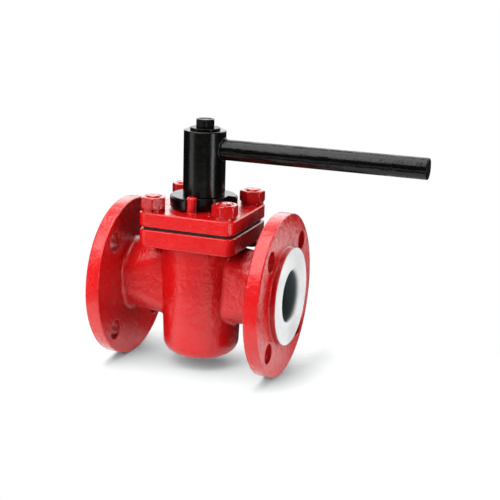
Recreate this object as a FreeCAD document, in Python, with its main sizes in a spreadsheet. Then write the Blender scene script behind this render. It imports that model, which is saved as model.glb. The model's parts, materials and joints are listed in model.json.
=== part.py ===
import FreeCAD, Part
import math
import os
import re

import Sketcher

# A two-inch, class 150, fluoropolymer-lined plug valve with a hand lever, in millimetres.
# The pipe runs along X and the stem along +Z. The origin is where the two axes cross.
# The valve stands open, with the lever over the +X flange. It shuts by turning 90 degrees
# clockwise, seen from above.

SIZES = {
    # pipe flanges and the raised faces that carry the liner's flared ends
    "flange_radius": (76.2, "pipe flange, outside"),
    "flange_back": (69.8, "stem axis to the flange's back face"),
    "flange_front": (83.1, "stem axis to the flange's front face"),
    "flange_edge": (1.0, "rounding of the flange's rim"),
    "raised_radius": (46.0, "raised face, outside"),
    "raised_front": (88.6, "stem axis to the raised face's painted lip"),
    "flare_radius": (45.3, "liner's flared end, outside"),
    "flare_back": (85.9, "stem axis to the back of the flared end"),
    "flare_front": (88.9, "stem axis to the liner's sealing face"),
    "bolt_circle": (60.325, "flange bolt circle, radius"),
    "bolt_hole": (9.525, "flange bolt hole, radius"),
    # flow passage
    "mouth_radius": (24.0, "round bore at each end, inside the liner"),
    "mouth_rounding": (3.0, "rounding of the liner's lip"),
    "mouth_end": (78.0, "stem axis to where the round bore starts to narrow"),
    "port_width": (13.5, "port, half its width across the stem"),
    "port_height": (20.0, "port, half its height"),
    "port_start": (18.0, "stem axis to the narrow end of the tapering passage"),
    "liner_wall": (3.0, "thickness of the body liner"),
    # necks between the barrel and the flanges
    "neck_start": (27.0, "stem axis to the neck's inner section"),
    "neck_width": (22.5, "inner section, half its width"),
    "neck_side_foot": (25.5, "inner section, how far its flat side reaches down"),
    "neck_side_head": (33.0, "inner section, how far its flat side reaches up"),
    "neck_foot": (36.3, "inner section, how far its lower corner reaches down"),
    "neck_head": (45.5, "inner section, how far its upper corner reaches up"),
    "neck_shoulder": (13.0, "inner section, rounding beside its flat sides"),
    "neck_crown": (28.0, "inner section, rounding of its top and bottom"),
    "neck_radius": (30.3, "outer section, radius below and beside"),
    "neck_end_side": (20.5, "outer section, how far its side reaches up"),
    "neck_end_head": (40.5, "outer section, how far its upper corner reaches up"),
    "neck_end_crown": (25.0, "outer section, rounding of its top"),
    "neck_rounding": (29.4, "outer section, rounding of its other corners"),
    "neck_fillet": (3.5, "cast fillet at both ends of a neck"),
    # barrel and top flange of the body
    "barrel_top_radius": (39.5, "barrel under the top flange"),
    "barrel_foot_radius": (35.6, "barrel at its foot, before rounding"),
    "barrel_foot": (-65.5, "height of the barrel's underside"),
    "barrel_corner": (13.0, "rounding of the barrel's foot"),
    "barrel_rise": (4.0, "how far the barrel runs up inside the top flange"),
    "top_flange_foot": (42.8, "height of the top flange's underside"),
    "top_flange_head": (58.8, "height of the top flange's joint face"),
    "top_flange_half": (46.5, "top flange and bonnet, half their side"),
    "top_flange_corner": (9.5, "corner radius of the top flange and bonnet"),
    "cast_edge": (1.4, "rounding of the cast outer edges"),
    # plug and its lining
    "plug_radius": (27.5, "lined plug at the pipe axis"),
    "plug_taper": (0.0628, "growth of the plug's radius with height"),
    "plug_foot": (-50.0, "height of the lined plug's underside"),
    "plug_head": (54.0, "height of the lined plug's shoulder"),
    "plug_lining": (2.5, "thickness of the plug's lining"),
    "plug_gap": (0.3, "free space between the plug and the body liner"),
    "lining_edge": (1.0, "rounding of the lining's edges"),
    "cavity_foot": (-56.0, "height of the floor of the body's cavity"),
    "cavity_corner": (4.0, "rounding of the cavity's floor in the casting"),
    "liner_corner": (2.0, "rounding of the liner's floor"),
    "sleeve_head": (60.3, "height of the lining's sleeve on the stem"),
    # stem
    "stem_radius": (12.0, "stem, round part"),
    "stem_shoulder": (75.2, "height where the stem turns square"),
    "stem_square": (17.0, "stem, across the flats of the square"),
    "stem_square_edge": (0.6, "rounding of the square's edges"),
    "stem_head": (143.5, "height of the stem's end"),
    "stem_play": (0.06, "running clearance round the stem, on the radius"),
    # seals under the bonnet
    "seal_radius": (38.3, "diaphragms and the liner's top flange, outside"),
    "diaphragm_wall": (1.7, "thickness of the polymer diaphragm at its rim"),
    "diaphragm_foot": (0.05, "free space between the plug's shoulder and the polymer diaphragm"),
    "diaphragm_flat": (1.5, "plug's shoulder to the polymer diaphragm's upper face"),
    "sheet_wall": (0.8, "thickness of the metal diaphragm"),
    "dish_foot": (1.5, "thrust collar to the foot of the polymer diaphragm's slope"),
    "dish_head": (5.0, "thrust collar to the head of the polymer diaphragm's slope"),
    "polymer_lean": (0.65, "how far the slope's upper face stands inside its lower face"),
    "sheet_lean": (0.4, "the same on the metal diaphragm"),
    "sheet_play": (0.1, "free space inside the metal diaphragm, on the radius"),
    "wedge_radius": (15.9, "delta ring, inside"),
    "wedge_foot_width": (3.6, "delta ring, width of its foot"),
    "wedge_head_width": (0.9, "delta ring, width of its head"),
    "wedge_drop": (0.6, "delta ring's head below the bonnet"),
    "collar_radius": (26.0, "thrust collar, outside"),
    "seal_rounding": (1.3, "rounding of the stem seal"),
    "seal_drop": (0.8, "stem seal's head below the bonnet's top"),
    "gasket_half": (43.5, "bonnet gasket, half its side"),
    # bonnet and what it carries
    "bonnet_foot": (61.4, "height of the bonnet's underside"),
    "bonnet_head": (74.5, "height of the bonnet's top"),
    "bush_radius": (15.0, "stem bush, outside"),
    "bush_head": (70.2, "height of the stem bush's end"),
    "pin_radius": (4.5, "stop pin"),
    "pin_reach": (28.0, "stem axis to the stop pin's axis"),
    "pin_head": (89.5, "height of the stop pin's end"),
    "pin_depth": (10.0, "how deep the stop pin sits in the bonnet"),
    # bonnet fasteners
    "stud_radius": (7.0, "bonnet stud"),
    "stud_reach": (35.0, "stem axis to a stud's axis, along X and along Y"),
    "stud_foot": (43.3, "height of a stud's lower end"),
    "long_stud_foot": (33.5, "the same on the one longer stud"),
    "stud_head": (89.2, "height of a stud's upper end"),
    "stud_end": (1.4, "chamfer of a stud's ends"),
    "thread_play": (0.05, "free space round a screwed piece, whose thread isn't modelled, on the radius"),
    "stud_play": (0.5, "free space round a stud in the bonnet and the gasket, on the radius"),
    "washer_radius": (10.8, "lock washer, outside"),
    "washer_height": (3.0, "lock washer, thickness"),
    "washer_edge": (0.5, "rounding of the washers' edges"),
    "washer_play": (0.35, "free space inside the washers, on the radius"),
    "washer_slit": (0.7, "lock washer, half the width of its slit"),
    "nut_flats": (21.5, "nut, across its flats"),
    "nut_height": (10.6, "nut, height"),
    "hexagon_land": (0.45, "radius of a hexagon's flat top, over its width across the flats"),
    "hexagon_slope": (0.6, "fall of a hexagon's corner chamfer, over its run"),
    # stop plate, wrench and top bolt
    "plate_radius": (31.4, "stop plate, outside"),
    "plate_height": (11.5, "stop plate, thickness"),
    "plate_chamfer": (1.6, "chamfer of the stop plate"),
    "notch_radius": (22.3, "stop plate's notch, inner radius"),
    "notch_wall": (5.0, "stem axis to a stopping wall of the notch"),
    "hub_radius": (19.5, "wrench hub"),
    "hub_head": (147.0, "height of the wrench hub's top"),
    "hub_edge": (1.0, "rounding of the wrench hub's edges"),
    "square_hole": (17.2, "square holes on the stem, across their flats"),
    "lever_radius": (9.5, "lever bar"),
    "lever_height": (130.2, "height of the lever's axis"),
    "lever_start": (13.2, "stem axis to the lever's end inside the hub"),
    "lever_spigot": (8.7, "lever bar, radius of its end that is turned to fit the hub"),
    "lever_end": (206.5, "stem axis to the lever's free end"),
    "lever_edge": (1.0, "rounding of the lever's free end"),
    "top_washer_radius": (13.9, "washer on the wrench hub, outside"),
    "top_washer_height": (2.3, "washer on the wrench hub, thickness"),
    "top_bolt_radius": (5.0, "wrench bolt, shank"),
    "top_bolt_flats": (16.5, "wrench bolt, across the flats of its head"),
    "top_bolt_head": (7.7, "wrench bolt, height of its head"),
    "top_bolt_length": (28.0, "wrench bolt, length of its shank"),
    # for cutting
    "overrun": (1.0, "how far a cutting shape runs past the face that it opens"),
}
SIDES = {"outlet": 1, "inlet": -1}
CORNERS = ((1, -1), (1, 1), (-1, 1), (-1, -1))
NUT_TURNS = (32, 25, 8, 52)  # degrees: no two nuts stop at the same angle
WASHER_STEP = 60  # degrees between the slits of one lock washer and the next, besides the nuts' own turns
TOP_BOLT_TURN = 52  # degrees
LONG_STUD = 2
BREAK_ANGLE = 20  # degrees above and below the horizontal, where a round mouth's outline is broken
TOUCH = 0.01  # mm: nearer than this counts as touching

doc = FreeCAD.newDocument("plug_valve")
sheet = doc.addObject("Spreadsheet::Sheet", "Sizes")
for row, (alias, (number, meaning)) in enumerate(SIZES.items(), start=1):
    sheet.set(f"A{row}", alias)
    sheet.set(f"B{row}", str(number))
    sheet.set(f"C{row}", meaning)
    sheet.setAlias(f"B{row}", alias)
doc.recompute()

parts = {}


# --- helpers -----------------------------------------------------------------


def bound(text):
    """The formula with every size's name pointing at its cell in the sheet."""
    return re.sub(r"[a-z_]+", lambda word: "Sizes." + word[0] if word[0] in SIZES else word[0], text)


def value(text):
    """The number that a formula of sizes comes to now."""
    return float(sheet.evalExpression(bound(text)))


def new_body(name):
    body = doc.addObject("PartDesign::Body", name)
    body.Label = name
    return body


def place(piece, x="0", y="0", z="0", turn=0):
    """Puts a piece at a place given by formulas, turned about Z by some degrees."""
    piece.Placement = FreeCAD.Placement(FreeCAD.Vector(), FreeCAD.Rotation(FreeCAD.Vector(0, 0, 1), turn))
    for axis, formula in zip("xyz", (x, y, z)):
        piece.setExpression(f"Placement.Base.{axis}", bound(formula))


def new_sketch(body, name, plane, offset="0"):
    """An empty sketch on one of the body's own origin planes, moved along its normal."""
    sketch = body.newObject("Sketcher::SketchObject", name)
    support = next(o for o in body.Origin.OriginFeatures if o.Role == f"{plane}_Plane")
    sketch.AttachmentSupport = [(support, "")]
    sketch.MapMode = "FlatFace"
    sketch.setExpression("AttachmentOffset.Base.z", bound(offset))
    return sketch


def add_constraints(sketch, constraints):
    """Adds (constraint, formula) pairs; a constraint with a formula is bound to it."""
    first = sketch.ConstraintCount
    sketch.addConstraint([constraint for constraint, formula in constraints])
    for number, (constraint, formula) in enumerate(constraints, start=first):
        if formula:
            sketch.setExpression(f"Constraints[{number}]", bound(formula))


def at_point(geometry, point, x, y):
    """Constraints that hold one point of a sketch at formulas of X and Y."""
    return [
        (Sketcher.Constraint("DistanceX", -1, 1, geometry, point, value(x)), x),
        (Sketcher.Constraint("DistanceY", -1, 1, geometry, point, value(y)), y),
    ]


def outline(body, name, plane, corners, offset="0"):
    """A closed outline of straight runs. A corner is (x, y), or (x, y, radius) where it is round."""
    sketch = new_sketch(body, name, plane, offset)
    count = len(corners)
    points = [FreeCAD.Vector(value(corner[0]), value(corner[1]), 0) for corner in corners]
    radii = [value(corner[2]) if len(corner) > 2 else 0 for corner in corners]
    arrive, leave, centres = [], [], []
    for i in range(count):
        back = (points[i - 1] - points[i]).normalize()
        ahead = (points[(i + 1) % count] - points[i]).normalize()
        half = back.getAngle(ahead) / 2
        run = radii[i] / math.tan(half)
        arrive.append(points[i] + back * run)
        leave.append(points[i] + ahead * run)
        centres.append(points[i] + (back + ahead).normalize() * (radii[i] / math.sin(half)) if radii[i] else None)
    for i in range(count):
        sketch.addGeometry(Part.LineSegment(leave[i], arrive[(i + 1) % count]), False)
    constraints = []
    for i, corner in enumerate(corners):
        before = (i - 1) % count
        if not radii[i]:
            constraints.append((Sketcher.Constraint("Coincident", before, 2, i, 1), None))
            constraints += at_point(i, 1, corner[0], corner[1])
            continue
        centre = centres[i]
        left_turn = (points[i] - points[i - 1]).cross(points[(i + 1) % count] - points[i]).z > 0
        begin, finish = (arrive[i], leave[i]) if left_turn else (leave[i], arrive[i])
        angles = [math.atan2(end.y - centre.y, end.x - centre.x) for end in (begin, finish)]
        circle = Part.Circle(centre, FreeCAD.Vector(0, 0, 1), radii[i])
        arc = sketch.addGeometry(Part.ArcOfCircle(circle, *angles), False)
        corner_point = sketch.addGeometry(Part.Point(points[i]), True)
        arc_in, arc_out = (1, 2) if left_turn else (2, 1)
        constraints += [
            (Sketcher.Constraint("Tangent", before, 2, arc, arc_in), None),
            (Sketcher.Constraint("Tangent", arc, arc_out, i, 1), None),
            (Sketcher.Constraint("PointOnObject", corner_point, 1, before), None),
            (Sketcher.Constraint("PointOnObject", corner_point, 1, i), None),
            (Sketcher.Constraint("Radius", arc, radii[i]), corner[2]),
        ]
        constraints += at_point(corner_point, 1, corner[0], corner[1])
    add_constraints(sketch, constraints)
    return sketch


def circles(body, name, plane, centres, radius, offset="0"):
    """A sketch of equal circles, one at each (x, y) in centres."""
    sketch = new_sketch(body, name, plane, offset)
    constraints = []
    for x, y in centres:
        middle = FreeCAD.Vector(value(x), value(y), 0)
        circle = sketch.addGeometry(Part.Circle(middle, FreeCAD.Vector(0, 0, 1), value(radius)), False)
        constraints.append((Sketcher.Constraint("Radius", circle, value(radius)), radius))
        constraints += at_point(circle, 3, x, y)
    add_constraints(sketch, constraints)
    return sketch


def port_outline(body, name, growth, offset):
    """The port's outline across the pipe: straight sides and half-round ends, made larger by growth."""
    radius, centre = f"(port_width + {growth})", "(port_height - port_width)"
    half, rise = value(radius), value(centre)
    sketch = new_sketch(body, name, "YZ", offset)
    upper = Part.Circle(FreeCAD.Vector(0, rise, 0), FreeCAD.Vector(0, 0, 1), half)
    lower = Part.Circle(FreeCAD.Vector(0, -rise, 0), FreeCAD.Vector(0, 0, 1), half)
    sketch.addGeometry([
        Part.LineSegment(FreeCAD.Vector(half, -rise, 0), FreeCAD.Vector(half, rise, 0)),
        Part.ArcOfCircle(upper, 0, math.pi),
        Part.LineSegment(FreeCAD.Vector(-half, rise, 0), FreeCAD.Vector(-half, -rise, 0)),
        Part.ArcOfCircle(lower, math.pi, 2 * math.pi),
    ], False)
    constraints = [(Sketcher.Constraint("Tangent", i, 2, (i + 1) % 4, 1), None) for i in range(4)]
    constraints += at_point(1, 3, "0", centre) + at_point(3, 3, "0", f"-{centre}")
    constraints.append((Sketcher.Constraint("Radius", 1, half), radius))
    constraints.append((Sketcher.Constraint("Equal", 1, 3), None))
    add_constraints(sketch, constraints)
    return sketch


def quartered_circle(body, name, plane, radius, offset="0"):
    """A circle in four arcs, broken level with the ends of the port's straight sides."""
    breaks = [-BREAK_ANGLE, BREAK_ANGLE, 180 - BREAK_ANGLE, 180 + BREAK_ANGLE]
    sketch = new_sketch(body, name, plane, offset)
    circle = Part.Circle(FreeCAD.Vector(), FreeCAD.Vector(0, 0, 1), value(radius))
    constraints = []
    for i, angle in enumerate(breaks):
        end = breaks[(i + 1) % 4] + (360 if i == 3 else 0)
        sketch.addGeometry(Part.ArcOfCircle(circle, math.radians(angle), math.radians(end)), False)
        constraints += at_point(i, 3, "0", "0")
        start_x = f"{radius} * cos({angle})"
        constraints.append((Sketcher.Constraint("DistanceX", -1, 1, i, 1, value(start_x)), start_x))
        if i:
            constraints.append((Sketcher.Constraint("Coincident", i - 1, 2, i, 1), None))
    last_x = f"{radius} * cos({breaks[0]})"
    constraints.append((Sketcher.Constraint("DistanceX", -1, 1, 3, 2, value(last_x)), last_x))
    constraints.append((Sketcher.Constraint("Radius", 0, value(radius)), radius))
    add_constraints(sketch, constraints)
    return sketch


def rectangle(half_x, half_y, radius=None):
    """The corners of a rectangle about the sketch's origin, round if a radius is given."""
    rounding = (radius,) if radius else ()
    signs = ((1, -1), (1, 1), (-1, 1), (-1, -1))
    return [(f"{sx} * ({half_x})", f"{sy} * ({half_y})") + rounding for sx, sy in signs]


def hexagon(flats):
    """The corners of a hexagon about the sketch's origin."""
    corner = f"({flats}) / 2 / cos(30)"
    return [(f"{corner} * cos({angle})", f"{corner} * sin({angle})") for angle in range(0, 360, 60)]


def neck_section(width, low, high, foot, head):
    """Flat sides with a crown above and below, as six round corners.

    The low and high side corners, the foot and the head are each a (distance from the pipe's axis, rounding).
    """
    return [
        (width, f"-({low[0]})", low[1]),
        (width, high[0], high[1]),
        ("0", head[0], head[1]),
        (f"-({width})", high[0], high[1]),
        (f"-({width})", f"-({low[0]})", low[1]),
        ("0", f"-({foot[0]})", foot[1]),
    ]


def spin(body, sketch, name, axis="V_Axis", remove=False):
    """Turns a sketch once round one of its own axes, adding or removing what it sweeps."""
    feature = body.newObject("PartDesign::Groove" if remove else "PartDesign::Revolution", name)
    feature.Profile = sketch
    feature.ReferenceAxis = (sketch, [axis])
    feature.Angle = 360
    return feature


def extrude(body, sketch, name, length, remove=False, backwards=False):
    """Pads a sketch along its normal, or pockets it against its normal; backwards swaps either."""
    feature = body.newObject("PartDesign::Pocket" if remove else "PartDesign::Pad", name)
    feature.Profile = sketch
    feature.setExpression("Length", bound(length))
    feature.Reversed = backwards
    return feature


def loft(body, name, first, last):
    """Adds the straight-sided solid that joins two sketches."""
    feature = body.newObject("PartDesign::AdditiveLoft", name)
    feature.Profile = first
    feature.Sections = [last]
    feature.Ruled = True
    return feature


def round_edges(body, name, radius, wanted):
    """Rounds the edges of the body so far that the test `wanted` picks."""
    doc.recompute()
    base = body.Tip
    edges = [f"Edge{n}" for n, edge in enumerate(base.Shape.Edges, start=1) if wanted(edge)]
    feature = body.newObject("PartDesign::Fillet", name)
    feature.Base = (base, edges)
    feature.setExpression("Radius", bound(radius))
    return feature


def turned(name, corners):
    """A piece that is one outline in X and Z, turned about Z."""
    body = new_body(name)
    spin(body, outline(body, name + "_outline", "XZ", corners), name + "_turning")
    return body


def cut(name, base, tool):
    piece = doc.addObject("Part::Cut", name)
    piece.Label = name
    piece.Base = base
    piece.Tool = tool
    return piece


def plug_cone(height, growth="0"):
    """The lined plug's radius at a height, made larger by growth."""
    return f"(plug_radius + plug_taper * ({height}) + ({growth}))"


def lies_at(edge, axis, place_text):
    """Whether an edge lies wholly in one plane square to an axis."""
    bounds = edge.BoundBox
    low, high = getattr(bounds, axis + "Min"), getattr(bounds, axis + "Max")
    return abs(low - value(place_text)) < TOUCH and abs(high - value(place_text)) < TOUCH


# --- body, its liner and the passage -----------------------------------------


def make_casting():
    """The body's outside: barrel, two necks, two pipe flanges and the square top flange."""
    body = new_body("body_casting")
    barrel = [
        ("0", "barrel_foot"),
        ("barrel_foot_radius", "barrel_foot", "barrel_corner"),
        ("barrel_top_radius", "top_flange_foot + barrel_rise"),
        ("0", "top_flange_foot + barrel_rise"),
    ]
    spin(body, outline(body, "barrel_outline", "XZ", barrel), "barrel")
    for side, sign in SIDES.items():
        tall = neck_section(
            "neck_width",
            low=("neck_side_foot", "neck_shoulder"), high=("neck_side_head", "neck_shoulder"),
            foot=("neck_foot", "neck_crown"), head=("neck_head", "neck_crown"),
        )
        inner = outline(body, f"{side}_neck_inner", "YZ", tall, f"{sign} * neck_start")
        rounder = neck_section(
            "neck_radius",
            low=("neck_radius * tan(30)", "neck_rounding"), high=("neck_end_side", "neck_rounding"),
            foot=("neck_radius / cos(30)", "neck_rounding"), head=("neck_end_head", "neck_end_crown"),
        )
        outer = outline(body, f"{side}_neck_outer", "YZ", rounder, f"{sign} * (flange_back + overrun)")
        loft(body, f"{side}_neck", inner, outer)
        flange = [
            (f"{sign} * flange_back", "0"),
            (f"{sign} * flange_back", "flange_radius", "flange_edge"),
            (f"{sign} * flange_front", "flange_radius", "flange_edge"),
            (f"{sign} * flange_front", "raised_radius", "flange_edge"),
            (f"{sign} * raised_front", "raised_radius", "flange_edge / 3"),
            (f"{sign} * raised_front", "0"),
        ]
        spin(body, outline(body, f"{side}_flange_outline", "XZ", flange), f"{side}_flange", axis="H_Axis")
    return body


def finish_casting(body):
    """The top flange, the cast fillets and the drilled holes."""
    def at_flange_back(edge):
        if not any(lies_at(edge, "X", f"{sign} * flange_back") for sign in SIDES.values()):
            return False
        centre = edge.CenterOfMass
        return math.hypot(centre.y, centre.z) < value("raised_radius")

    round_edges(body, "neck_fillets", "neck_fillet", at_flange_back)

    def on_barrel(point):
        share = (point.z - value("barrel_foot")) / value("top_flange_foot + barrel_rise - barrel_foot")
        radius = value("barrel_foot_radius") + share * value("barrel_top_radius - barrel_foot_radius")
        return abs(math.hypot(point.x, point.y) - radius) < 10 * TOUCH

    def at_neck_root(edge):
        ends = [vertex.Point for vertex in edge.Vertexes]
        level = abs(ends[0].z - ends[-1].z) < TOUCH
        upright = abs(ends[0].x - ends[-1].x) + abs(ends[0].y - ends[-1].y) < TOUCH
        return all(on_barrel(end) for end in ends) and not level and not upright

    round_edges(body, "barrel_fillets", "neck_fillet", at_neck_root)
    square = rectangle("top_flange_half", "top_flange_half", "top_flange_corner")
    extrude(
        body, outline(body, "top_flange_outline", "XY", square, "top_flange_foot"),
        "top_flange", "top_flange_head - top_flange_foot",
    )

    def on_top_flange_rim(edge):
        level = lies_at(edge, "Z", "top_flange_foot") or lies_at(edge, "Z", "top_flange_head")
        centre = edge.CenterOfMass
        return level and max(abs(centre.x), abs(centre.y)) > value("barrel_top_radius + 2")

    round_edges(body, "top_flange_edges", "cast_edge", on_top_flange_rim)
    for side, sign in SIDES.items():
        reach = "bolt_circle * cos(45)"
        holes = circles(
            body, f"{side}_bolt_centres", "YZ",
            [(f"{sy} * {reach}", f"{sz} * {reach}") for sy, sz in CORNERS],
            "bolt_hole", f"{sign} * (flange_front + overrun)",
        )
        extrude(
            body, holes, f"{side}_bolt_holes", "flange_front - flange_back + 2 * overrun",
            remove=True, backwards=sign < 0,
        )
    stud_places = [(f"{sx} * stud_reach", f"{sy} * stud_reach") for sx, sy in CORNERS]
    holes = circles(
        body, "stud_centres", "XY", stud_places, "stud_radius + thread_play", "top_flange_head + overrun",
    )
    extrude(body, holes, "stud_holes", "top_flange_head - top_flange_foot + 2 * overrun", remove=True)


def make_liner_blank():
    """The space inside the casting, which the moulded liner fills before the passage is cut."""
    body = new_body("liner_blank")
    outside = "plug_gap + liner_wall"
    cup = [
        ("0", "cavity_foot"),
        (plug_cone("cavity_foot", outside), "cavity_foot", "cavity_corner"),
        (plug_cone("top_flange_head - liner_wall", outside), "top_flange_head - liner_wall"),
        ("seal_radius", "top_flange_head - liner_wall"),
        ("seal_radius", "top_flange_head"),
        ("0", "top_flange_head"),
    ]
    spin(body, outline(body, "cup_outline", "XZ", cup), "cup")
    add_passage(body, "liner_wall")
    for side, sign in SIDES.items():
        flare = [
            (f"{sign} * mouth_end", "0"),
            (f"{sign} * mouth_end", "mouth_radius + liner_wall"),
            (f"{sign} * flare_back", "mouth_radius + liner_wall"),
            (f"{sign} * flare_back", "flare_radius"),
            (f"{sign} * flare_front", "flare_radius"),
            (f"{sign} * flare_front", "0"),
        ]
        spin(body, outline(body, f"{side}_flare_outline", "XZ", flare), f"{side}_flare", axis="H_Axis")
    return body


def add_passage(body, growth):
    """The tapering passage on both sides, from the tall port to the round mouth."""
    for side, sign in SIDES.items():
        narrow = port_outline(body, f"{side}_port_section", growth, f"{sign} * port_start")
        wide = quartered_circle(
            body, f"{side}_mouth_section", "YZ", f"(mouth_radius + {growth})", f"{sign} * mouth_end",
        )
        loft(body, f"{side}_passage", narrow, wide)


def make_flow_core():
    """All the space inside the liner: the plug's cone, both passages and both mouths."""
    body = new_body("flow_core")
    floor = "cavity_foot + liner_wall"
    cone = [
        ("0", floor),
        (plug_cone(floor, "plug_gap"), floor, "liner_corner"),
        (plug_cone("top_flange_head + overrun", "plug_gap"), "top_flange_head + overrun"),
        ("0", "top_flange_head + overrun"),
    ]
    spin(body, outline(body, "cone_outline", "XZ", cone), "cone")
    add_passage(body, "0")
    for side, sign in SIDES.items():
        mouth = [
            (f"{sign} * mouth_end", "0"),
            (f"{sign} * mouth_end", "mouth_radius"),
            (f"{sign} * flare_front", "mouth_radius", "mouth_rounding"),
            (f"{sign} * flare_front", "mouth_radius + mouth_rounding + overrun"),
            (f"{sign} * (flare_front + overrun)", "mouth_radius + mouth_rounding + overrun"),
            (f"{sign} * (flare_front + overrun)", "0"),
        ]
        spin(body, outline(body, f"{side}_mouth_outline", "XZ", mouth), f"{side}_mouth", axis="H_Axis")
    return body


def make_body_and_liner():
    casting = make_casting()
    finish_casting(casting)
    blank = make_liner_blank()
    parts["body"] = cut("body", casting, blank)
    parts["body_liner"] = cut("body_liner", blank, make_flow_core())


# --- plug ----------------------------------------------------------------------


def cut_port(body, growth):
    """Cuts the plug's port, which runs along X while the valve is open."""
    sketch = port_outline(body, body.Name + "_port_outline", growth, "2 * plug_radius")
    extrude(body, sketch, body.Name + "_port", "4 * plug_radius", remove=True)


def make_plug():
    """The metal plug and stem in one piece, square above the bonnet and tapped at its end."""
    body = new_body("plug")
    foot, head = "plug_foot + plug_lining", "plug_head - plug_lining"
    profile = [
        ("0", foot),
        (plug_cone(foot, "-plug_lining"), foot),
        (plug_cone(head, "-plug_lining"), head),
        ("stem_radius", head),
        ("stem_radius", "stem_shoulder"),
        ("0", "stem_shoulder"),
    ]
    spin(body, outline(body, "plug_outline", "XZ", profile), "plug_turning")
    cut_port(body, "plug_lining")
    square = outline(
        body, "stem_square_outline", "XY",
        rectangle("stem_square / 2", "stem_square / 2", "stem_square_edge"), "stem_shoulder",
    )
    extrude(body, square, "stem_square_end", "stem_head - stem_shoulder")
    tapped = circles(
        body, "stem_thread_centre", "XY", [("0", "0")], "top_bolt_radius + thread_play", "stem_head + overrun",
    )
    extrude(body, tapped, "stem_thread", "top_bolt_length + 2 * overrun", remove=True)
    parts["plug"] = body
    return body


def make_plug_lining(plug):
    """The moulded lining: over the cone, through the port and a little way up the stem."""
    blank = new_body("lining_blank")
    sleeve = "stem_radius + plug_lining"
    profile = [
        ("0", "plug_foot"),
        (plug_cone("plug_foot"), "plug_foot", "lining_edge"),
        (plug_cone("plug_head"), "plug_head", "lining_edge"),
        (sleeve, "plug_head"),
        (sleeve, "sleeve_head"),
        ("0", "sleeve_head"),
    ]
    spin(blank, outline(blank, "lining_outline", "XZ", profile), "lining_turning")
    cut_port(blank, "0")
    parts["plug_lining"] = cut("plug_lining", blank, plug)


# --- seals under the bonnet ------------------------------------------------------


def make_seals():
    """Diaphragms, delta ring and thrust collar, stacked from the plug's shoulder to the bonnet."""
    sleeve = "stem_radius + plug_lining + stem_play"
    polymer_top, sheet_top = "plug_head + diaphragm_flat", "plug_head + diaphragm_flat + sheet_wall"
    rim = "top_flange_head + diaphragm_wall"
    slope_foot, slope_head = "collar_radius + dish_foot - polymer_lean", "collar_radius + dish_head - polymer_lean"
    parts["ptfe_diaphragm"] = turned("ptfe_diaphragm", [
        (sleeve, "plug_head + diaphragm_foot"),
        ("collar_radius + dish_foot", "plug_head + diaphragm_foot"),
        ("collar_radius + dish_head", "top_flange_head"),
        ("seal_radius", "top_flange_head"),
        ("seal_radius", rim),
        (slope_head, rim),
        (slope_foot, polymer_top),
        ("wedge_radius", polymer_top),
        ("wedge_radius", "sleeve_head"),
        (sleeve, "sleeve_head"),
    ])
    parts["metal_diaphragm"] = turned("metal_diaphragm", [
        ("wedge_radius + sheet_play", polymer_top),
        (slope_foot, polymer_top),
        (slope_head, rim),
        ("seal_radius", rim),
        ("seal_radius", "bonnet_foot"),
        (f"{slope_head} - sheet_lean", "bonnet_foot"),
        (f"{slope_foot} - sheet_lean", sheet_top),
        ("wedge_radius + sheet_play", sheet_top),
    ])
    wedge_head = "bonnet_foot - wedge_drop"
    parts["delta_ring"] = turned("delta_ring", [
        ("wedge_radius", sheet_top),
        ("wedge_radius + wedge_foot_width", sheet_top),
        ("wedge_radius + wedge_head_width", wedge_head),
        ("wedge_radius", wedge_head),
    ])
    parts["thrust_collar"] = turned("thrust_collar", [
        ("wedge_radius + wedge_foot_width", sheet_top),
        ("collar_radius", sheet_top),
        ("collar_radius", "bonnet_foot"),
        ("wedge_radius + wedge_head_width", "bonnet_foot"),
        ("wedge_radius + wedge_head_width", wedge_head),
    ])
    seal_head = "bonnet_head - seal_drop"
    parts["stem_seal"] = turned("stem_seal", [
        ("stem_radius + stem_play", "bush_head", "seal_rounding"),
        ("bush_radius", "bush_head", "seal_rounding"),
        ("bush_radius", seal_head, "seal_rounding"),
        ("stem_radius + stem_play", seal_head, "seal_rounding"),
    ])
    parts["stem_bush"] = turned("stem_bush", [
        ("stem_radius + stem_play", "bonnet_foot"),
        ("bush_radius", "bonnet_foot"),
        ("bush_radius", "bush_head"),
        ("stem_radius + stem_play", "bush_head"),
    ])


# --- bonnet and its fasteners ------------------------------------------------------


def make_bonnet():
    body = new_body("bonnet")
    square = rectangle("top_flange_half", "top_flange_half", "top_flange_corner")
    extrude(
        body, outline(body, "bonnet_outline", "XY", square, "bonnet_foot"),
        "bonnet_plate", "bonnet_head - bonnet_foot",
    )
    round_edges(
        body, "bonnet_edges", "cast_edge",
        lambda edge: lies_at(edge, "Z", "bonnet_head") or lies_at(edge, "Z", "bonnet_foot"),
    )
    stud_places = [(f"{sx} * stud_reach", f"{sy} * stud_reach") for sx, sy in CORNERS]
    above = "bonnet_head + overrun"
    through = "bonnet_head - bonnet_foot + 2 * overrun"
    holes = circles(body, "bonnet_stud_centres", "XY", stud_places, "stud_radius + stud_play", above)
    extrude(body, holes, "bonnet_stud_holes", through, remove=True)
    bore = circles(body, "bonnet_bore_centre", "XY", [("0", "0")], "bush_radius", above)
    extrude(body, bore, "bonnet_bore", through, remove=True)
    pin = circles(body, "pin_centre", "XY", [("0", "-pin_reach")], "pin_radius", above)
    extrude(body, pin, "pin_hole", "pin_depth + overrun", remove=True)
    parts["bonnet"] = body


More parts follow.
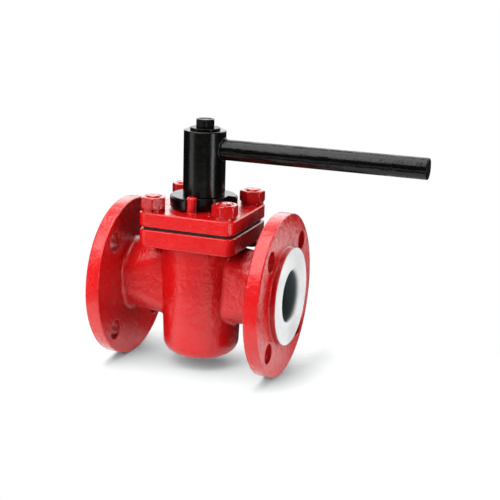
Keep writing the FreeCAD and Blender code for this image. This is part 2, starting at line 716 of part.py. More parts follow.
def make_gasket():
    body = new_body("bonnet_gasket")
    square = rectangle("gasket_half", "gasket_half", "top_flange_corner - 2")
    extrude(
        body, outline(body, "gasket_outline", "XY", square, "top_flange_head"),
        "gasket_sheet", "bonnet_foot - top_flange_head",
    )
    stud_places = [(f"{sx} * stud_reach", f"{sy} * stud_reach") for sx, sy in CORNERS]
    above = "bonnet_foot + overrun"
    through = "bonnet_foot - top_flange_head + 2 * overrun"
    holes = circles(body, "gasket_stud_centres", "XY", stud_places, "stud_radius + stud_play", above)
    extrude(body, holes, "gasket_stud_holes", through, remove=True)
    ring = circles(body, "gasket_ring_centre", "XY", [("0", "0")], "seal_radius", above)
    extrude(body, ring, "gasket_ring", through, remove=True)
    parts["bonnet_gasket"] = body


def make_hexagon(name, flats, foot, height, hole=None):
    """A hexagon with its top corners turned off, bored through where a hole is given."""
    body = new_body(name)
    extrude(body, outline(body, name + "_hexagon", "XY", hexagon(flats), foot), name + "_blank", height)
    top = f"{foot} + {height}"
    land = f"({flats}) * hexagon_land"
    beyond = f"({flats}) / 2 / cos(30) + overrun"
    chamfer = [
        (land, top),
        (beyond, f"{top} - ({beyond} - {land}) * hexagon_slope"),
        (beyond, f"{top} + overrun"),
        (land, f"{top} + overrun"),
    ]
    spin(body, outline(body, name + "_chamfer_outline", "XZ", chamfer), name + "_chamfer", remove=True)
    if hole:
        bore = circles(body, name + "_bore_centre", "XY", [("0", "0")], hole, f"{top} + overrun")
        extrude(body, bore, name + "_bore", f"{height} + 2 * overrun", remove=True)
    return body


def make_fasteners():
    """Four studs screwed into the body, each with a split lock washer and a nut."""
    for number, (sx, sy) in enumerate(CORNERS, start=1):
        x, y = f"{sx} * stud_reach", f"{sy} * stud_reach"
        foot = "long_stud_foot" if number == LONG_STUD else "stud_foot"
        stud = turned(f"stud_{number}", [
            ("0", foot),
            ("stud_radius - stud_end", foot),
            ("stud_radius", f"{foot} + stud_end"),
            ("stud_radius", "stud_head - stud_end"),
            ("stud_radius - stud_end", "stud_head"),
            ("0", "stud_head"),
        ])
        washer = turned(f"lock_washer_{number}", [
            ("stud_radius + washer_play", "bonnet_head"),
            ("washer_radius", "bonnet_head", "washer_edge"),
            ("washer_radius", "bonnet_head + washer_height", "washer_edge"),
            ("stud_radius + washer_play", "bonnet_head + washer_height"),
        ])
        past = "washer_radius + overrun"
        slit = outline(
            washer, f"slit_{number}", "XY",
            [("0", "-washer_slit"), (past, "-washer_slit"), (past, "washer_slit"), ("0", "washer_slit")],
            "bonnet_head + washer_height + overrun",
        )
        extrude(washer, slit, f"slit_cut_{number}", "washer_height + 2 * overrun", remove=True)
        nut = make_hexagon(
            f"nut_{number}", "nut_flats", "bonnet_head + washer_height", "nut_height",
            "stud_radius + thread_play",
        )
        turn = NUT_TURNS[number - 1]
        place(stud, x, y)
        place(washer, x, y, turn=turn + WASHER_STEP * number)
        place(nut, x, y, turn=turn)
        parts.update({stud.Name: stud, washer.Name: washer, nut.Name: nut})


def make_stop_pin():
    pin = turned("stop_pin", [
        ("0", "bonnet_head - pin_depth"),
        ("pin_radius", "bonnet_head - pin_depth"),
        ("pin_radius", "pin_head", "pin_radius * 0.45"),
        ("0", "pin_head"),
    ])
    place(pin, y="-pin_reach")
    parts["stop_pin"] = pin


# --- stop plate, wrench and its bolt ---------------------------------------------


def cut_square_hole(body, head, depth):
    """A square hole that drives, or is driven by, the stem."""
    hole = outline(
        body, body.Name + "_square", "XY", rectangle("square_hole / 2", "square_hole / 2"), f"{head} + overrun",
    )
    extrude(body, hole, body.Name + "_square_hole", f"{depth} + 2 * overrun", remove=True)


def make_stop_plate():
    """A disc on the stem's square with a quarter notched out, which the stop pin stands in."""
    head = "stem_shoulder + plate_height"
    body = turned("stop_plate", [
        ("0", "stem_shoulder"),
        ("plate_radius - plate_chamfer", "stem_shoulder"),
        ("plate_radius", "stem_shoulder + plate_chamfer"),
        ("plate_radius", f"{head} - plate_chamfer"),
        ("plate_radius - plate_chamfer", head),
        ("0", head),
    ])
    past = "plate_radius + overrun"
    quarter = [
        ("-notch_wall", f"-({past})"),
        (past, f"-({past})"),
        (past, "notch_wall"),
        ("-notch_wall", "notch_wall"),
    ]
    extrude(
        body, outline(body, "notch_outline", "XY", quarter, f"{head} + overrun"),
        "notch", "plate_height + 2 * overrun", remove=True,
    )
    core = circles(body, "plate_core_centre", "XY", [("0", "0")], "notch_radius", "stem_shoulder")
    extrude(body, core, "plate_core", "plate_height")
    cut_square_hole(body, head, "plate_height")
    parts["stop_plate"] = body


def make_wrench():
    """A round hub on the stem's square and a round bar whose turned end is let into its side."""
    foot = "stem_shoulder + plate_height"
    hub = turned("wrench_hub", [
        ("0", foot),
        ("hub_radius", foot, "hub_edge"),
        ("hub_radius", "hub_head", "hub_edge"),
        ("0", "hub_head"),
    ])
    cut_square_hole(hub, "hub_head", f"hub_head - ({foot})")
    socket = circles(hub, "socket_centre", "YZ", [("0", "lever_height")], "lever_spigot", "lever_start")
    extrude(hub, socket, "socket", "hub_radius", remove=True, backwards=True)
    parts["wrench_hub"] = hub

    bar = new_body("lever_bar")
    profile = [
        ("lever_start", "0"),
        ("lever_start", "lever_spigot"),
        ("hub_radius", "lever_spigot"),
        ("hub_radius", "lever_radius"),
        ("lever_end", "lever_radius", "lever_edge"),
        ("lever_end", "0"),
    ]
    spin(bar, outline(bar, "bar_outline", "XZ", profile), "bar_turning", axis="H_Axis")
    place(bar, z="lever_height")
    parts["lever_bar"] = bar


def make_top_bolt():
    """The bolt and washer that hold the wrench down on the stem."""
    washer_head = "hub_head + top_washer_height"
    parts["top_washer"] = turned("top_washer", [
        ("top_bolt_radius + washer_play", "hub_head"),
        ("top_washer_radius", "hub_head", "washer_edge"),
        ("top_washer_radius", washer_head, "washer_edge"),
        ("top_bolt_radius + washer_play", washer_head),
    ])
    bolt = make_hexagon("top_bolt", "top_bolt_flats", washer_head, "top_bolt_head")
    shank = circles(bolt, "shank_centre", "XY", [("0", "0")], "top_bolt_radius", washer_head)
    extrude(bolt, shank, "shank", "top_bolt_length", backwards=True)
    place(bolt, turn=TOP_BOLT_TURN)
    parts["top_bolt"] = bolt


# --- checks and files --------------------------------------------------------------


def check_and_write():
    doc.recompute()
    for item in doc.Objects:
        if "Invalid" in item.State or "Error" in item.State:
            raise RuntimeError(f"{item.Name} failed: {item.State}")
    for name, piece in parts.items():
        if piece.Shape.isNull() or not piece.Shape.isValid():
            raise RuntimeError(f"{name} has no valid shape")
        if len(piece.Shape.Solids) != 1:
            raise RuntimeError(f"{name} is {len(piece.Shape.Solids)} solids, not one")
    os.makedirs("parts", exist_ok=True)
    for name, piece in parts.items():
        piece.Shape.exportStep(f"parts/{name}.step")
        bounds = piece.Shape.BoundBox
        print(f"{name:16s} volume {piece.Shape.Volume:10.1f}  z {bounds.ZMin:7.2f} to {bounds.ZMax:7.2f}")


make_body_and_liner()
make_plug_lining(make_plug())
make_seals()
make_bonnet()
make_gasket()
make_fasteners()
make_stop_pin()
make_stop_plate()
make_wrench()
make_top_bolt()
check_and_write()
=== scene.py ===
import json
import math
import random

import bmesh
import bpy
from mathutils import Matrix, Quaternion, Vector


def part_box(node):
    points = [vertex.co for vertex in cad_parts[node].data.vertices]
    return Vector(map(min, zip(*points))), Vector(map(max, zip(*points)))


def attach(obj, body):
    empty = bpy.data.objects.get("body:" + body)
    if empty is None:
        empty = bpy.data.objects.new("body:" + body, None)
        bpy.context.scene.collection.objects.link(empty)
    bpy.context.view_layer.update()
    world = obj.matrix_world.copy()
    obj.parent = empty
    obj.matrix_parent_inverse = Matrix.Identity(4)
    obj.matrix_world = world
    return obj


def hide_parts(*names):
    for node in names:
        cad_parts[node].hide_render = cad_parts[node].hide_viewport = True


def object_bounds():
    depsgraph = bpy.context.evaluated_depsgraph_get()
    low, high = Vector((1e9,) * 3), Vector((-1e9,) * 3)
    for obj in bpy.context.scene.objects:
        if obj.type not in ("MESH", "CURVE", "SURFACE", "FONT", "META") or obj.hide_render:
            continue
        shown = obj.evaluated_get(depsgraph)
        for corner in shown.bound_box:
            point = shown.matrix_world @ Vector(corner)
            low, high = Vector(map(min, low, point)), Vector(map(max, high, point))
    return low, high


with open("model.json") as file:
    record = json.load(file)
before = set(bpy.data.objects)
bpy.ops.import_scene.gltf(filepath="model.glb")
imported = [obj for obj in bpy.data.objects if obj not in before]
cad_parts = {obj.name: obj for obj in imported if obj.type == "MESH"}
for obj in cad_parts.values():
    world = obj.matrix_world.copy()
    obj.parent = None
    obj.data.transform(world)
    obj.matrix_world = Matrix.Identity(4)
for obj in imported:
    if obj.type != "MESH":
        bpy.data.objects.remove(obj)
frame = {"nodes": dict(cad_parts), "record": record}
cad_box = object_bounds()
MM = 0.001
TURN = 2 * math.pi
FLOOR = cad_box[0].z
RED = (0.61, 0.0036, 0.0048, 1)
RED_DEEP = (0.40, 0.0015, 0.004, 1)
RED_THIN = (0.30, 0.006, 0.008, 1)
BLACK = (0.0016, 0.0017, 0.0015, 1)
BLACK_DUSTY = (0.0062, 0.0058, 0.0044, 1)
BLACK_RUBBED = (0.11, 0.10, 0.088, 1)
PLUG, BODY = "plug_and_wrench", "valve_body"
CORNERS = range(1, 5)  # the bonnet's four studs, washers and nuts
HEXAGON_STEPS = 96


# --- materials ---------------------------------------------------------------


class Material:
    """A node material with the few kinds of node that these finishes use."""

    def __init__(self, name, rough, metallic=0.0, **sockets):
        self.material = bpy.data.materials.new(name)
        self.material.use_nodes = True
        self.tree = self.material.node_tree
        self.shader = self.tree.nodes["Principled BSDF"]
        self.shader.inputs["Roughness"].default_value = rough
        self.shader.inputs["Metallic"].default_value = metallic
        for socket, number in sockets.items():
            self.shader.inputs[socket.replace("_", " ")].default_value = number
        self.place = self.node("ShaderNodeTexCoord").outputs["Object"]

    def node(self, kind, **settings):
        made = self.tree.nodes.new(kind)
        for key, setting in settings.items():
            setattr(made, key, setting)
        return made

    def link(self, source, target):
        self.tree.links.new(source, target)

    def feed(self, socket, source):
        """A socket takes a number, a colour or another node's output."""
        if hasattr(source, "is_output"):
            self.link(source, socket)
        else:
            socket.default_value = source

    def noise(self, scale, detail=3.0, rough=0.5, distortion=0.0,
              stretch=(1, 1, 1), offset=(0, 0, 0)):
        mapping = self.node("ShaderNodeMapping")
        mapping.inputs["Scale"].default_value = stretch
        mapping.inputs["Location"].default_value = offset
        self.link(self.place, mapping.inputs["Vector"])
        made = self.node("ShaderNodeTexNoise")
        made.inputs["Scale"].default_value = scale
        made.inputs["Detail"].default_value = detail
        made.inputs["Roughness"].default_value = rough
        made.inputs["Distortion"].default_value = distortion
        self.link(mapping.outputs["Vector"], made.inputs["Vector"])
        return made.outputs["Fac"]

    def rings(self, scale, axis, distortion=0.0):
        """Turning marks round an axis."""
        made = self.node("ShaderNodeTexWave", wave_type="RINGS", rings_direction=axis)
        made.inputs["Scale"].default_value = scale
        made.inputs["Distortion"].default_value = distortion
        made.inputs["Detail Scale"].default_value = 2.0
        self.link(self.place, made.inputs["Vector"])
        return made.outputs["Fac"]

    def coordinate(self, axis):
        split = self.node("ShaderNodeSeparateXYZ")
        self.link(self.place, split.inputs[0])
        return split.outputs[axis]

    def math(self, operation, first, second=0.0, third=None):
        made = self.node("ShaderNodeMath", operation=operation)
        self.feed(made.inputs[0], first)
        self.feed(made.inputs[1], second)
        if third is not None:
            self.feed(made.inputs[2], third)
        return made.outputs[0]

    def ramp(self, value, low, high, to_low=0.0, to_high=1.0):
        made = self.node("ShaderNodeMapRange", interpolation_type="SMOOTHSTEP")
        self.feed(made.inputs["Value"], value)
        settings = {"From Min": low, "From Max": high, "To Min": to_low, "To Max": to_high}
        for socket, number in settings.items():
            made.inputs[socket].default_value = number
        return made.outputs["Result"]

    def mix(self, factor, first, second):
        made = self.node("ShaderNodeMix", data_type="RGBA")
        self.feed(made.inputs["Factor"], factor)
        self.feed(made.inputs[6], first)
        self.feed(made.inputs[7], second)
        return made.outputs[2]

    def edges(self, radius, low=0.02, high=0.25):
        """1 along the sharp edges and 0 away from them."""
        bevel = self.node("ShaderNodeBevel", samples=6)
        bevel.inputs["Radius"].default_value = radius
        geometry = self.node("ShaderNodeNewGeometry")
        dot = self.node("ShaderNodeVectorMath", operation="DOT_PRODUCT")
        self.link(bevel.outputs["Normal"], dot.inputs[0])
        self.link(geometry.outputs["Normal"], dot.inputs[1])
        return self.ramp(self.math("SUBTRACT", 1.0, dot.outputs["Value"]), low, high)

    def bump(self, layers, soften=None):
        """Stacks (height, distance) layers; soften rounds sharp edges over that radius."""
        normal = None
        if soften:
            bevel = self.node("ShaderNodeBevel", samples=6)
            bevel.inputs["Radius"].default_value = soften
            normal = bevel.outputs["Normal"]
        for height, distance in layers:
            made = self.node("ShaderNodeBump")
            made.inputs["Distance"].default_value = distance
            self.link(height, made.inputs["Height"])
            if normal:
                self.link(normal, made.inputs["Normal"])
            normal = made.outputs["Normal"]
        self.link(normal, self.shader.inputs["Normal"])
        if self.shader.inputs["Coat Weight"].default_value:
            self.link(normal, self.shader.inputs["Coat Normal"])

    def colour(self, source):
        self.feed(self.shader.inputs["Base Color"], source)

    def roughness(self, source):
        self.feed(self.shader.inputs["Roughness"], source)


def darker(colour, share):
    return [share * part for part in colour[:3]] + [1]


def red_paint(name, lump, soften, shade=1.0):
    """Glossy enamel on a casting that is uneven by lump metres. It lies thin on the edges."""
    made = Material(
        name, 0.3, Specular_IOR_Level=0.05, Coat_Weight=1.0, Coat_Roughness=0.09, Coat_IOR=1.52,
    )
    casting = made.noise(110, detail=4, rough=0.62, distortion=0.4)
    peel = made.noise(430, detail=3, rough=0.6, distortion=0.3)
    fine = made.noise(1500, detail=2)
    tone = made.ramp(made.noise(22, detail=5, rough=0.6), 0.35, 0.7)
    painted = made.mix(tone, darker(RED, shade), darker(RED, 0.88 * shade))
    patches = made.ramp(made.noise(160, detail=4), 0.45, 0.72)
    thin = made.math("MULTIPLY", made.edges(1.2 * MM), patches)
    painted = made.mix(made.math("MULTIPLY", thin, 0.55), painted, RED_THIN)
    specks = made.ramp(made.noise(900, detail=3, rough=0.7, offset=(3, 1, 2)), 0.74, 0.8, 0.0, 0.35)
    made.colour(made.mix(specks, painted, RED_DEEP))
    made.roughness(made.ramp(made.noise(60, detail=5, rough=0.65), 0.3, 0.75, 0.2, 0.36))
    made.bump([(casting, lump), (peel, 0.28 * MM), (fine, 0.01 * MM)], soften)
    return made.material


def black_paint(name, lump, stretch=(1, 1, 1), wear=0.35, coat=0.6, gloss=0.2):
    """Black enamel, dusty in places and rubbed to a greyer black on the edges."""
    made = Material(name, 0.3, Specular_IOR_Level=0.03, Coat_Weight=coat, Coat_Roughness=gloss)
    lumps = made.noise(110, detail=4, rough=0.5, stretch=stretch)
    peel = made.noise(650, detail=3)
    patches = made.ramp(made.noise(240, detail=4), 0.4, 0.7, 0.0, wear)
    rubbed = made.math("MULTIPLY", made.edges(0.9 * MM), patches)
    dust = made.ramp(made.noise(35, detail=6, rough=0.7), 0.45, 0.75, 0.0, 0.4)
    made.colour(made.mix(rubbed, made.mix(dust, BLACK, BLACK_DUSTY), BLACK_RUBBED))
    made.roughness(made.ramp(made.noise(90, detail=5, rough=0.65), 0.3, 0.7, 0.24, 0.4))
    made.bump([(lumps, lump), (peel, 0.08 * MM)], soften=0.5 * MM)
    return made.material


def liner_polymer(name):
    """White moulded polymer. Inside the bore its white gives way to painted shade, darker the deeper
    in.
    """
    made = Material(
        name, 0.38, Specular_IOR_Level=0.45, Subsurface_Weight=0.06, Subsurface_Scale=0.002,
    )
    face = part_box("body_liner")[1].x
    from_stem = made.math("ABSOLUTE", made.coordinate("X"))
    # Painted shade: from the sealing face into the bore the colour turns from white to grey at the
    # mouth.
    bore_mouth_shade = made.ramp(from_stem, face - 0.3 * MM, face - 5.4 * MM)
    deeper_bore_shade = made.ramp(from_stem, face - 2.4 * MM, face - 18.9 * MM)
    cloud = made.ramp(made.noise(38, detail=6, rough=0.62), 0.35, 0.7)
    white = made.mix(cloud, (0.78, 0.78, 0.78, 1), (0.62, 0.635, 0.64, 1))
    scratches = made.noise(210, detail=4, rough=0.6, stretch=(1, 1, 0.35))
    scuffed = made.ramp(scratches, 0.62, 0.75, 0.0, 0.3)
    white = made.mix(scuffed, white, (0.48, 0.49, 0.50, 1))
    # Painted shade deeper in the bore, from dark grey to near black.
    painted_bore_shade = made.mix(deeper_bore_shade, (0.12, 0.14, 0.15, 1), (0.010, 0.018, 0.021, 1))
    made.colour(made.mix(bore_mouth_shade, white, painted_bore_shade))
    made.roughness(made.ramp(made.noise(120, detail=4), 0.3, 0.7, 0.3, 0.48))
    made.bump([(made.rings(420, "X", 0.6), 0.01 * MM), (made.noise(260, detail=3), 0.03 * MM)])
    return made.material


def metal(name, base, shade, rough, marks):
    """Turned metal with fine rings about the stem and a little staining."""
    made = Material(name, rough, metallic=1.0)
    stain = made.ramp(made.noise(90, detail=5, rough=0.65), 0.4, 0.75)
    made.colour(made.mix(stain, base, shade))
    made.roughness(made.ramp(made.noise(300, detail=3), 0.3, 0.7, rough - 0.08, rough + 0.1))
    made.bump([(made.rings(marks, "Z", 0.3), 0.01 * MM), (made.noise(500, detail=2), 0.01 * MM)])
    return made.material


def rubber(name):
    """Matt black elastomer, slightly mottled."""
    made = Material(name, 0.75)
    mottle = made.noise(130, detail=5)
    made.colour(made.mix(mottle, (0.011, 0.011, 0.011, 1), (0.024, 0.023, 0.022, 1)))
    made.roughness(made.ramp(made.noise(200, detail=3), 0.3, 0.7, 0.65, 0.85))
    made.bump([(made.noise(700, detail=3), 0.05 * MM)])
    return made.material


def floor_paper():
    """White paper that fades to nothing at its sides, in front of the object and behind it."""
    made = Material("white_sweep", 0.9)
    grain = made.noise(900, detail=3)
    made.colour(made.mix(grain, (0.90, 0.92, 0.92, 1), (0.94, 0.96, 0.96, 1)))
    made.bump([(grain, 0.02 * MM)])
    across, along = made.coordinate("X"), made.coordinate("Y")
    middle = 0.02
    off_middle = made.math("ABSOLUTE", made.math("SUBTRACT", across, middle))
    sides = made.ramp(off_middle, 0.17, 0.31)
    front = made.ramp(along, -0.25, -0.17, 1.0, 0.0)
    reach_at_right = made.ramp(across, 0.085, 0.115, 0.0, 0.06)
    back = made.ramp(made.math("SUBTRACT", along, reach_at_right), 0.0, 0.075)
    ends = made.math("MAXIMUM", back, front)
    fade = made.node("ShaderNodeMixShader")
    made.link(made.math("MAXIMUM", sides, ends), fade.inputs["Fac"])
    made.link(made.shader.outputs[0], fade.inputs[1])
    made.link(made.node("ShaderNodeBsdfTransparent").outputs[0], fade.inputs[2])
    made.link(fade.outputs[0], made.tree.nodes["Material Output"].inputs["Surface"])
    return made.material


FINISHES = {
    "red_painted_iron": red_paint("red_enamel_on_casting", lump=1.0 * MM, soften=1.6 * MM),
    "red_painted_fastener": red_paint(
        "red_enamel_on_fasteners", lump=0.3 * MM, soften=0.7 * MM, shade=0.72,
    ),
    "black_painted_steel": black_paint("black_enamel", lump=0.2 * MM),
    "black_painted_bar": black_paint(
        "black_enamel_on_bar", lump=0.9 * MM, stretch=(0.8, 1, 1), wear=0.5, coat=0.5, gloss=0.14,
    ),
    "blackened_fastener": black_paint("blackened_bolt", lump=0.12 * MM, wear=0.8, coat=0.25),
    "liner_polymer": liner_polymer("white_fluoropolymer"),
    "machined_steel": metal(
        "turned_steel", (0.52, 0.52, 0.53, 1), (0.36, 0.35, 0.34, 1), rough=0.3, marks=900,
    ),
    "stainless_sheet": metal(
        "stainless_sheet", (0.64, 0.64, 0.65, 1), (0.5, 0.5, 0.5, 1), rough=0.22, marks=500,
    ),
    "bronze": metal(
        "bored_bronze", (0.60, 0.40, 0.18, 1), (0.38, 0.24, 0.11, 1), rough=0.32, marks=700,
    ),
    "black_rubber": rubber("black_elastomer"),
}
SLOT_OF = {part["node"]: part["material_slot"] for part in frame["record"]["subparts"]}


def finish_cad_nodes():
    for name, node in frame["nodes"].items():
        node.data.materials.clear()
        node.data.materials.append(FINISHES[SLOT_OF[name]])


# --- pieces built here -------------------------------------------------------


def new_piece(name, mesh, slot, body, smooth_angle=35):
    """Links a finished bmesh as a piece that rides on a CAD body."""
    data = bpy.data.meshes.new(name)
    bmesh.ops.remove_doubles(mesh, verts=mesh.verts, dist=1e-7)
    bmesh.ops.recalc_face_normals(mesh, faces=mesh.faces)
    mesh.to_mesh(data)
    mesh.free()
    data.polygons.foreach_set("use_smooth", [True] * len(data.polygons))
    data.set_sharp_from_angle(angle=math.radians(smooth_angle))
    data.materials.append(FINISHES[slot])
    piece = bpy.data.objects.new(name, data)
    bpy.context.scene.collection.objects.link(piece)
    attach(piece, body)
    return piece


def ring_grid(rings, closed=False):
    """Quads between rings of points; caps the two ends unless the rings close on each other."""
    mesh = bmesh.new()
    rows = [[mesh.verts.new(point) for point in ring] for ring in rings]
    count = len(rows[0])
    pairs = list(zip(rows, rows[1:])) + ([(rows[-1], rows[0])] if closed else [])
    for lower, upper in pairs:
        for i in range(count):
            j = (i + 1) % count
            mesh.faces.new((lower[i], lower[j], upper[j], upper[i]))
    if not closed:
        mesh.faces.new(rows[0])
        mesh.faces.new(rows[-1])
    return mesh


def around(centre, radius, height, steps):
    """A level ring of points. The radius is a number or a function of the angle."""
    ring = []
    for i in range(steps):
        angle = TURN * i / steps
        reach = radius(angle) if callable(radius) else radius
        x, y = centre.x + reach * math.cos(angle), centre.y + reach * math.sin(angle)
        ring.append(Vector((x, y, height)))
    return ring


def soft_hexagon(flats, turn):
    """The radius of a hexagon with its corners blunted by paint, as a function of the angle."""
    sharpness = 34
    normals = [turn + TURN * (side + 0.5) / 6 for side in range(6)]

    def radius(angle):
        total = sum(max(0.0, math.cos(angle - normal)) ** sharpness for normal in normals)
        return flats / 2 / total ** (1 / sharpness)

    return radius


def chamfered(outline, limit):
    """An outline held inside a circle, blended where the two meet."""
    sharpness = 40
    return lambda angle: (outline(angle) ** -sharpness + limit ** -sharpness) ** (-1 / sharpness)


def hexagon_rings(centre, foot, head, flats, turn):
    """The outside of a hexagon with chamfers above and below, as rings from its foot to its head.

    The shares are parts of its height, and the limits parts of the radius of its sharp corners.
    """
    outline = soft_hexagon(flats, turn)
    corner = flats / 2 / math.cos(math.pi / 6)

    def ring(share, limit=None):
        shape = chamfered(outline, corner * limit) if limit else outline
        return around(centre, shape, foot + share * (head - foot), HEXAGON_STEPS)

    lower = ((0.0, 0.90), (0.03, 0.93), (0.07, 0.97), (0.12, 1.02))
    upper = ((0.80, 1.02), (0.88, 0.985), (0.94, 0.94), (0.985, 0.875), (1.0, 0.84))
    return [ring(*row) for row in (*lower, (0.4,), (0.7,), *upper)]


def stud_piece(number):
    """A stud whose rolled thread shows, half filled with paint, at both ends."""
    low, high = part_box(f"stud_{number}")
    centre = (low + high) / 2
    crest = (high.x - low.x) / 2 - 0.06 * MM
    pitch, depth, taper = 2.0 * MM, 0.55 * MM, 1.5 * MM
    steps, rows_in_a_pitch = 60, 9
    rows = int((high.z - low.z) / (pitch / rows_in_a_pitch))
    rings = [around(centre, 0.8 * MM, low.z, steps)]
    for row in range(rows + 1):
        height = low.z + (high.z - low.z) * row / rows
        to_end = min(height - low.z, high.z - height)
        limit = crest - max(0.0, taper - to_end)

        def radius(angle, height=height, limit=limit):
            wave = (1 + math.cos(TURN * (height / pitch) - angle)) / 2
            return min(limit, crest - depth * wave ** 0.7)

        rings.append(around(centre, radius, height, steps))
    rings.append(around(centre, 2.6 * MM, high.z, steps))
    rings.append(around(centre, 1.4 * MM, high.z - 0.35 * MM, steps))
    name = f"threaded_stud_{number}"
    piece = new_piece(name, ring_grid(rings), "red_painted_fastener", BODY, 60)
    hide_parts(f"stud_{number}")


def nut_piece(number):
    """A nut round its stud, with its bore opened out above and below."""
    low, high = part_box(f"nut_{number}")
    centre = (low + high) / 2
    flats, bore = 21.5 * MM, 7.08 * MM
    rings = hexagon_rings(centre, low.z, high.z, flats, nut_turn(number))
    rings.append(around(centre, bore + 1.1 * MM, high.z, HEXAGON_STEPS))
    rings.append(around(centre, bore, high.z - 1.0 * MM, HEXAGON_STEPS))
    rings.append(around(centre, bore, low.z + 0.6 * MM, HEXAGON_STEPS))
    rings.append(around(centre, bore + 0.6 * MM, low.z, HEXAGON_STEPS))
    mesh = ring_grid(rings, closed=True)
    piece = new_piece(f"painted_nut_{number}", mesh, "red_painted_fastener", BODY)
    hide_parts(f"nut_{number}")


def nut_turn(number):
    """The angle at which the CAD nut's first corner stands, read from its own mesh."""
    node = frame["nodes"][f"nut_{number}"]
    low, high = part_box(f"nut_{number}")
    centre = (low + high) / 2
    far = max(node.data.vertices, key=lambda v: (v.co.xy - centre.xy).length).co
    return math.atan2(far.y - centre.y, far.x - centre.x)


def bead(name, path, thickness, slot, body, seed):
    """A line of paint or weld along a closed path of (point, outward) pairs, uneven in thickness."""
    shake = random.Random(seed)
    waves_round = (2, 3, 5, 8, 13)
    waves = [(k, shake.uniform(0, TURN), shake.uniform(0.03, 0.12)) for k in waves_round]
    count, sides = len(path), 10
    rings = []
    for i, (point, outward) in enumerate(path):
        along = (path[(i + 1) % count][0] - path[i - 1][0]).normalized()
        across = along.cross(outward).normalized()
        swell = 1 + sum(size * math.sin(k * TURN * i / count + start) for k, start, size in waves)
        reach = thickness * swell
        angles = [TURN * k / sides for k in range(sides)]
        spokes = [outward * math.cos(angle) + across * math.sin(angle) for angle in angles]
        rings.append([point + spoke * reach for spoke in spokes])
    new_piece(name, ring_grid(rings, closed=True), slot, body, 60)


def circle_path(centre, radius, height):
    """A level circle as a path for a bead."""
    steps = 72
    path = []
    for i in range(steps):
        angle = TURN * i / steps
        outward = Vector((math.cos(angle), math.sin(angle), 0))
        path.append((Vector((centre.x, centre.y, height)) + outward * radius, outward))
    return path


def make_lever_weld():
    """The weld where the round bar meets the round hub, buried in black paint."""
    low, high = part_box("lever_bar")
    hub_low, hub_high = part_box("wrench_hub")
    hub = (hub_high.x - hub_low.x) / 2
    bar = (high.z - low.z) / 2
    axis = (high.z + low.z) / 2
    steps = 96
    path = []
    for i in range(steps):
        angle = TURN * i / steps
        side, up = bar * math.cos(angle), bar * math.sin(angle)
        from_stem = math.sqrt(hub ** 2 - side ** 2)
        outward = Vector((1, math.cos(angle), math.sin(angle))).normalized()
        path.append((Vector((from_stem, side, axis + up)), outward))
    bead("lever_weld", path, 1.25 * MM, "black_painted_steel", PLUG, seed=4)


def make_paint_beads():
    """Enamel that ran down and dried round the foot of the pin, the washers and the stud ends."""
    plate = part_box("bonnet")[1].z
    low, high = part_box("stop_pin")
    centre, radius = (low + high) / 2, (high.x - low.x) / 2
    path = circle_path(centre, radius, plate)
    bead("pin_paint_ring", path, 0.9 * MM, "red_painted_iron", BODY, seed=11)
    for number in CORNERS:
        low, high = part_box(f"lock_washer_{number}")
        centre, radius = (low + high) / 2, (high.x - low.x) / 2
        name, path = f"washer_paint_ring_{number}", circle_path(centre, radius - 0.25 * MM, plate)
        bead(name, path, 0.55 * MM, "red_painted_fastener", BODY, seed=20 + number)
        height, stud_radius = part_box(f"nut_{number}")[1].z - 0.7 * MM, 7.0 * MM
        name, path = f"stud_paint_ring_{number}", circle_path(centre, stud_radius, height)
        bead(name, path, 0.42 * MM, "red_painted_fastener", BODY, seed=30 + number)


def make_bolt_head():
    """The wrench bolt's head, which stands on its washer and is dished on top."""
    low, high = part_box("top_bolt")
    centre = (low + high) / 2
    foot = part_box("top_washer")[1].z
    flats, turn, dish = 16.5 * MM, math.radians(52), 0.5 * MM
    corner = flats / 2 / math.cos(math.pi / 6)
    rings = hexagon_rings(centre, foot, high.z, flats, turn)
    rings.append(around(centre, corner * 0.62, high.z - 0.1 * MM, HEXAGON_STEPS))
    rings.append(around(centre, corner * 0.58, high.z - dish, HEXAGON_STEPS))
    rings.append(around(centre, corner * 0.2, high.z - dish, HEXAGON_STEPS))
    piece = new_piece("wrench_bolt", ring_grid(rings), "blackened_fastener", PLUG)
    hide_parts("top_bolt")


# --- studio --------------------------------------------------------------------


def softbox(name, point, target, width, height, power, glossy=True, diffuse=True):
    """A soft rectangular light at a point, turned to a target."""
    light = bpy.data.lights.new(name, "AREA")
    light.shape = "RECTANGLE"
    light.size, light.size_y = width, height
    light.energy = power
    box = bpy.data.objects.new(name, light)
    box.location = point
    box.rotation_mode = "QUATERNION"
    box.rotation_quaternion = (Vector(target) - Vector(point)).to_track_quat("-Z", "Y")
    box.visible_camera = False
    box.visible_glossy = glossy
    box.visible_diffuse = diffuse
    bpy.context.scene.collection.objects.link(box)


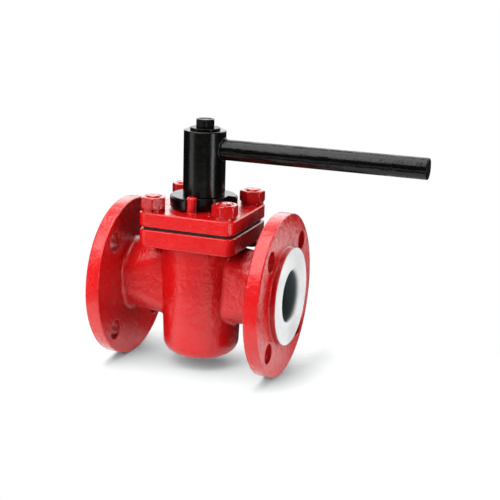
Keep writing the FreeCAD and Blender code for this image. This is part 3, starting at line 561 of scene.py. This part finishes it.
def make_world():
    """A white room for the camera. All else sees a bright wall behind the object, and is dark."""
    wall_bright, room_dark = 2.3, 0.012
    wall = {"axis": "Y", "start": 0.25, "end": 0.80, "before": room_dark, "after": wall_bright}
    horizon = {"axis": "Z", "start": -0.03, "end": 0.12, "before": room_dark, "after": 1.0}
    world = bpy.data.worlds.new("studio")
    bpy.context.scene.world = world
    world.use_nodes = True
    nodes, links = world.node_tree.nodes, world.node_tree.links
    nodes.clear()
    output = nodes.new("ShaderNodeOutputWorld")
    mix = nodes.new("ShaderNodeMixShader")
    seen = nodes.new("ShaderNodeLightPath")
    white, room = nodes.new("ShaderNodeBackground"), nodes.new("ShaderNodeBackground")
    for background in (white, room):
        background.inputs["Color"].default_value = (1, 1, 1, 1)
    place = nodes.new("ShaderNodeTexCoord")
    split = nodes.new("ShaderNodeSeparateXYZ")
    links.new(place.outputs["Generated"], split.inputs[0])

    def ramp(axis, start, end, before, after):
        made = nodes.new("ShaderNodeMapRange")
        made.interpolation_type = "SMOOTHSTEP"
        settings = {"From Min": start, "From Max": end, "To Min": before, "To Max": after}
        for socket, number in settings.items():
            made.inputs[socket].default_value = number
        links.new(split.outputs[axis], made.inputs["Value"])
        return made.outputs["Result"]

    strength = nodes.new("ShaderNodeMath")
    strength.operation = "MULTIPLY"
    links.new(ramp(**wall), strength.inputs[0])
    links.new(ramp(**horizon), strength.inputs[1])
    links.new(strength.outputs[0], room.inputs["Strength"])
    links.new(seen.outputs["Is Camera Ray"], mix.inputs["Fac"])
    links.new(room.outputs[0], mix.inputs[1])
    links.new(white.outputs[0], mix.inputs[2])
    links.new(mix.outputs[0], output.inputs["Surface"])


def make_floor():
    """A sheet of white paper under the object, with round corners. Its material fades it out."""
    mesh = bmesh.new()
    left, right, front, back = -0.30, 0.34, -0.26, 0.17
    rounding, steps = 0.03, 12
    corners = ((right, front, -90), (right, back, 0), (left, back, 90), (left, front, 180))
    outline = []
    for x, y, start in corners:
        inner = Vector((x - math.copysign(rounding, x), y - math.copysign(rounding, y), FLOOR))
        for i in range(steps + 1):
            angle = math.radians(start + 90 * i / steps)
            outward = Vector((math.cos(angle), math.sin(angle), 0))
            outline.append(mesh.verts.new(inner + outward * rounding))
    mesh.faces.new(outline)
    data = bpy.data.meshes.new("paper")
    mesh.to_mesh(data)
    mesh.free()
    data.materials.append(floor_paper())
    paper = bpy.data.objects.new("paper", data)
    bpy.context.scene.collection.objects.link(paper)


def make_lights():
    """A light with diffuse off shows only in the gloss, and with glossy off only in the shading."""
    centre = (0.02, 0, 0.02)
    softbox("key", (-0.40, -0.75, 0.95), centre, 1.0, 0.6, 7.5)
    softbox("overhead", (-0.15, -0.10, 1.25), centre, 1.1, 0.9, 13)
    softbox("left_card", (-0.95, -0.72, 0.2), centre, 0.55, 0.95, 2.8, diffuse=False)
    softbox("right_card", (1.05, -0.45, 0.05), centre, 0.26, 0.9, 4.0)
    softbox("right_fill", (1.05, -0.10, 0.22), centre, 0.40, 0.5, 3.0, glossy=False)
    softbox("front_fill", (-0.30, -1.10, 0.42), centre, 0.9, 0.6, 10, glossy=False)
    softbox("front_reflector", (-0.15, -0.56, FLOOR), (-0.15, -0.56, 1), 1.1, 0.36, 1.2)
    above_floor = FLOOR + 0.5 * MM
    softbox("floor_bounce", (0, -0.15, above_floor), (0, -0.15, 1), 0.8, 0.6, 1.5, glossy=False)
    under_neck, near_flange = (0.155, 0.16, -0.025), (0.12, -0.2, -0.045)
    softbox("back_card", under_neck, near_flange, 0.07, 0.10, 0.030, diffuse=False)


def make_camera():
    """Placed as the matched view: low, from the front right, and rolled a little."""
    target = Vector((24.572, 62.050, 21.194)) * MM
    azimuth, elevation = math.radians(19.951), math.radians(15.195)
    distance, roll, lens = 1.030965, 1.84, 75.09
    level = math.cos(elevation)
    back = Vector((math.sin(azimuth) * level, -math.cos(azimuth) * level, math.sin(elevation)))
    data = bpy.data.cameras.new("camera")
    data.lens = lens
    data.clip_start, data.clip_end = 0.01, 20
    camera = bpy.data.objects.new("camera", data)
    camera.location = target + back * distance
    camera.rotation_mode = "QUATERNION"
    tilt = Quaternion((0, 0, 1), math.radians(roll))
    camera.rotation_quaternion = (-back).to_track_quat("-Z", "Y") @ tilt
    bpy.context.scene.collection.objects.link(camera)
    bpy.context.scene.camera = camera


finish_cad_nodes()
for number in CORNERS:
    stud_piece(number)
    nut_piece(number)
make_bolt_head()
make_lever_weld()
make_paint_beads()
make_world()
make_floor()
make_lights()
make_camera()
scene = bpy.context.scene
scene.view_settings.view_transform = "Standard"
scene.cycles.max_bounces = 8
scene.cycles.diffuse_bounces = 0  # keeps the valve's red off the paper
